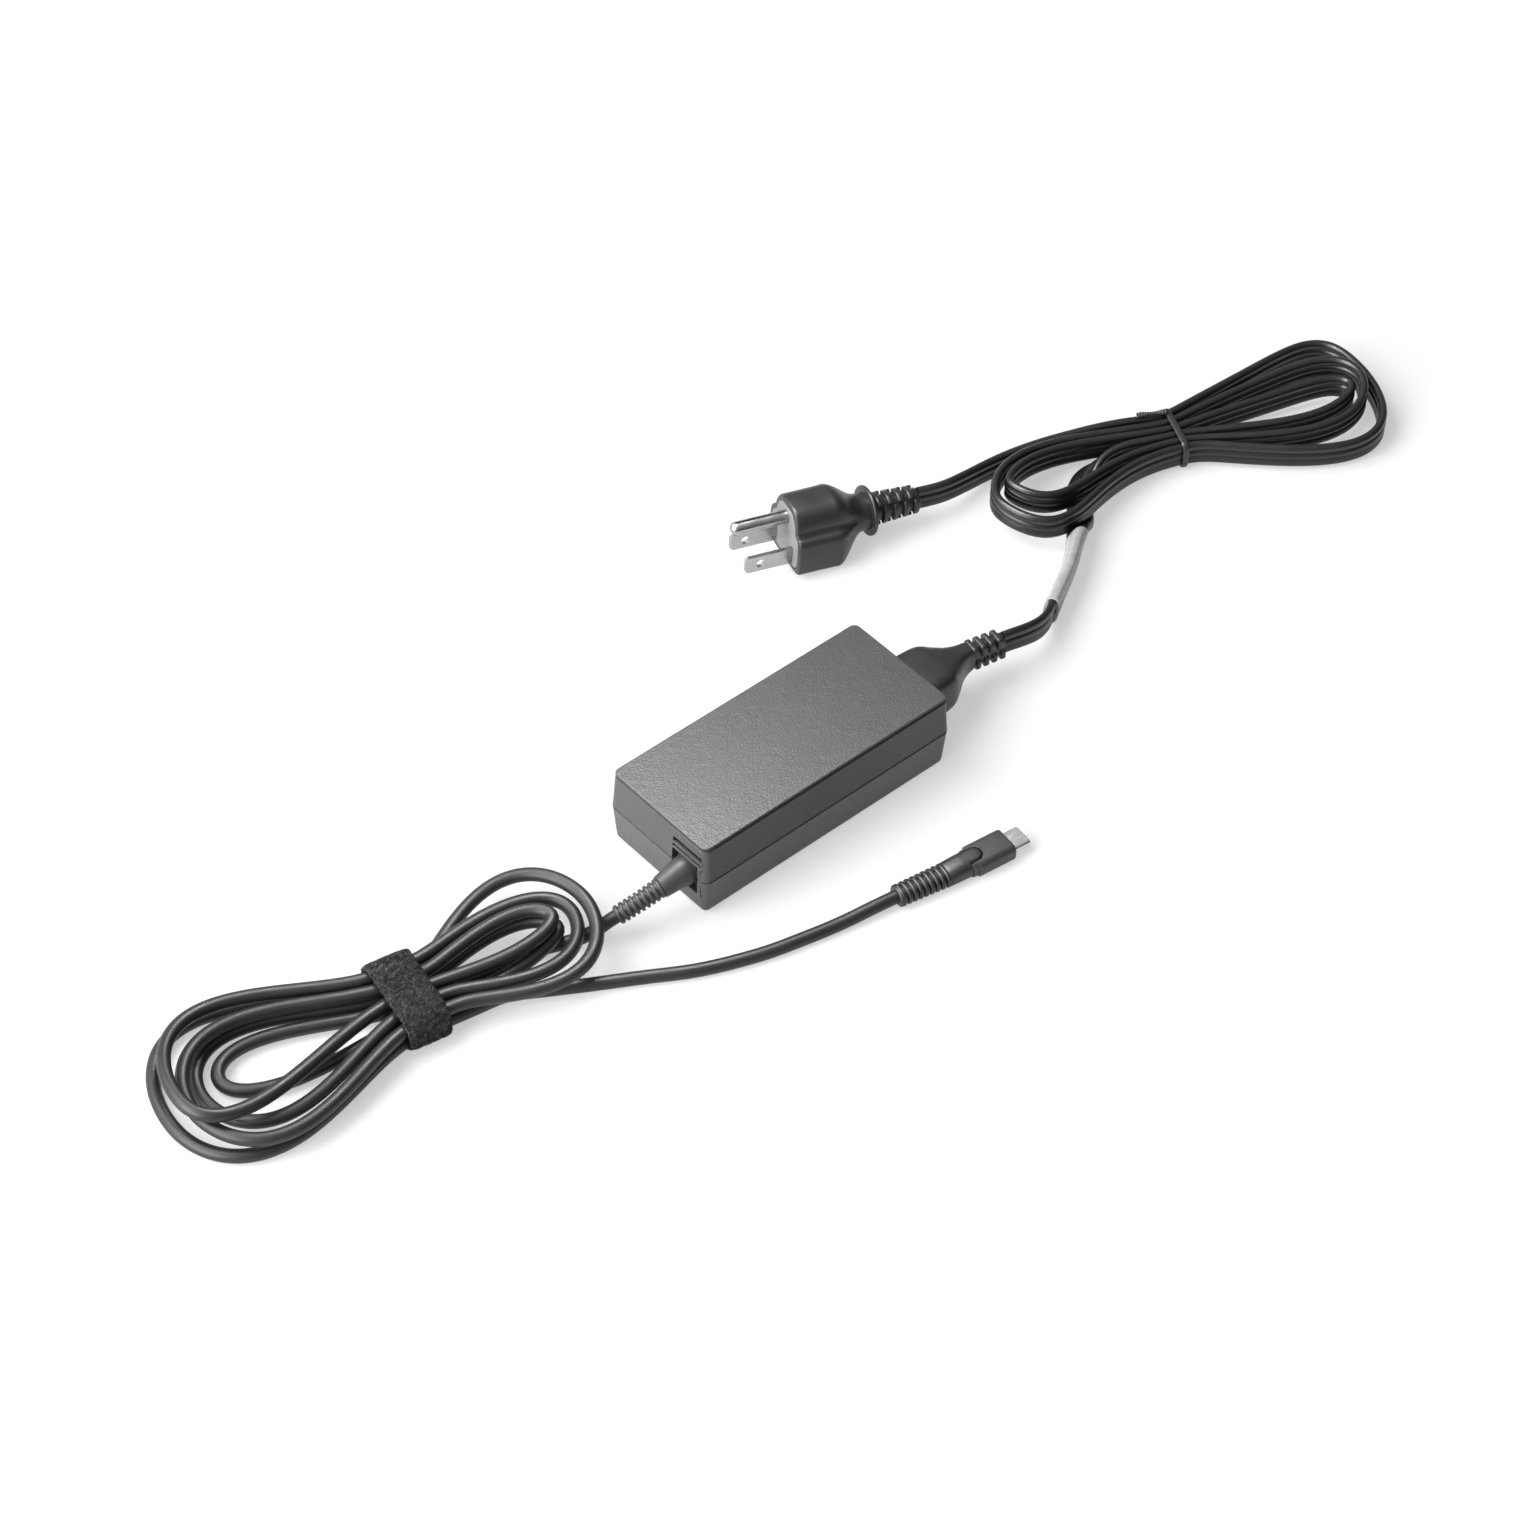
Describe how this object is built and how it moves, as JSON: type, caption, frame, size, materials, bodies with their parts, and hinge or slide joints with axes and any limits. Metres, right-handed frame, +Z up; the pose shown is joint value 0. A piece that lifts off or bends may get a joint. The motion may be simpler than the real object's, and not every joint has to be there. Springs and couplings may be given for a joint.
{
  "type": "laptop power adapter",
  "caption": "Two-shell laptop power adapter with a strapped USB-C output cord and a detachable mains cord set with a grounded plug.",
  "frame": {"origin": "middle of the housing's flat base, on the surface it stands on", "axes": "+X along the housing towards the mains inlet, +Y across it, +Z up from the base to the top face"},
  "size_m": [0.5249, 0.1647, 0.03],
  "materials": {
    "housing_top": "satin, fine grain",
    "housing_base": "satin, fine grain",
    "black_plastic": "satin",
    "grey_plastic": "satin",
    "cord_rubber": "satin",
    "strap_fabric": "looped pile",
    "white_film": "satin film",
    "nickel_steel": "polished nickel plate",
    "nickel_brass": "nickel plated",
    "board": "solder mask",
    "insulator": "pressed fibre",
    "heat_sink_aluminium": "mill finish",
    "copper_coil": "lacquered",
    "ferrite": "pressed ferrite",
    "yellow_tape": "polyester tape",
    "capacitor_sleeve": "shrunk sleeve",
    "film_capacitor": "moulded box",
    "disc_capacitor": "dipped",
    "component_black": "moulded epoxy"
  },
  "bodies": {
    "adapter": {"top_shell": "housing_top", "bottom_shell": "housing_base", "circuit_board": "board", "insulation_sheet": "insulator", "ac_inlet": "black_plastic", "inlet_pins": "nickel_brass", "input_fuse": "component_black", "x_capacitor": "film_capacitor", "y_capacitors": "disc_capacitor", "common_mode_choke": "copper_coil", "bridge_rectifier": "component_black", "bulk_capacitor": "capacitor_sleeve", "primary_heat_sink": "heat_sink_aluminium", "switching_transistor": "component_black", "transformer_core": "ferrite", "transformer_winding": "yellow_tape", "secondary_heat_sink": "heat_sink_aluminium", "output_rectifier": "component_black", "output_capacitors": "capacitor_sleeve", "output_choke": "ferrite", "control_chips": "component_black", "dc_strain_relief": "black_plastic", "dc_cord_near": "cord_rubber", "dc_hank": "cord_rubber", "cable_strap": "strap_fabric", "dc_cord_far": "cord_rubber", "usb_strain_relief": "black_plastic", "usb_plug_body": "black_plastic", "usb_plug_shell": "nickel_steel", "usb_contact_insert": "black_plastic"},
    "ac_cord_set": {"ac_connector": "black_plastic", "connector_contacts": "nickel_brass", "ac_cord_near": "cord_rubber", "label_sleeve": "white_film", "ac_hank": "cord_rubber", "twist_tie": "black_plastic", "ac_cord_far": "cord_rubber", "mains_plug_body": "black_plastic", "plug_face": "grey_plastic", "line_blade": "nickel_brass", "neutral_blade": "nickel_brass", "ground_pin": "nickel_brass"}
  },
  "joints": [
    {"name": "cord_set_unplug", "type": "slide", "parent": "adapter", "child": "ac_cord_set", "axis": [1, 0, 0], "range_m": [0, 0.03]}
  ]
}
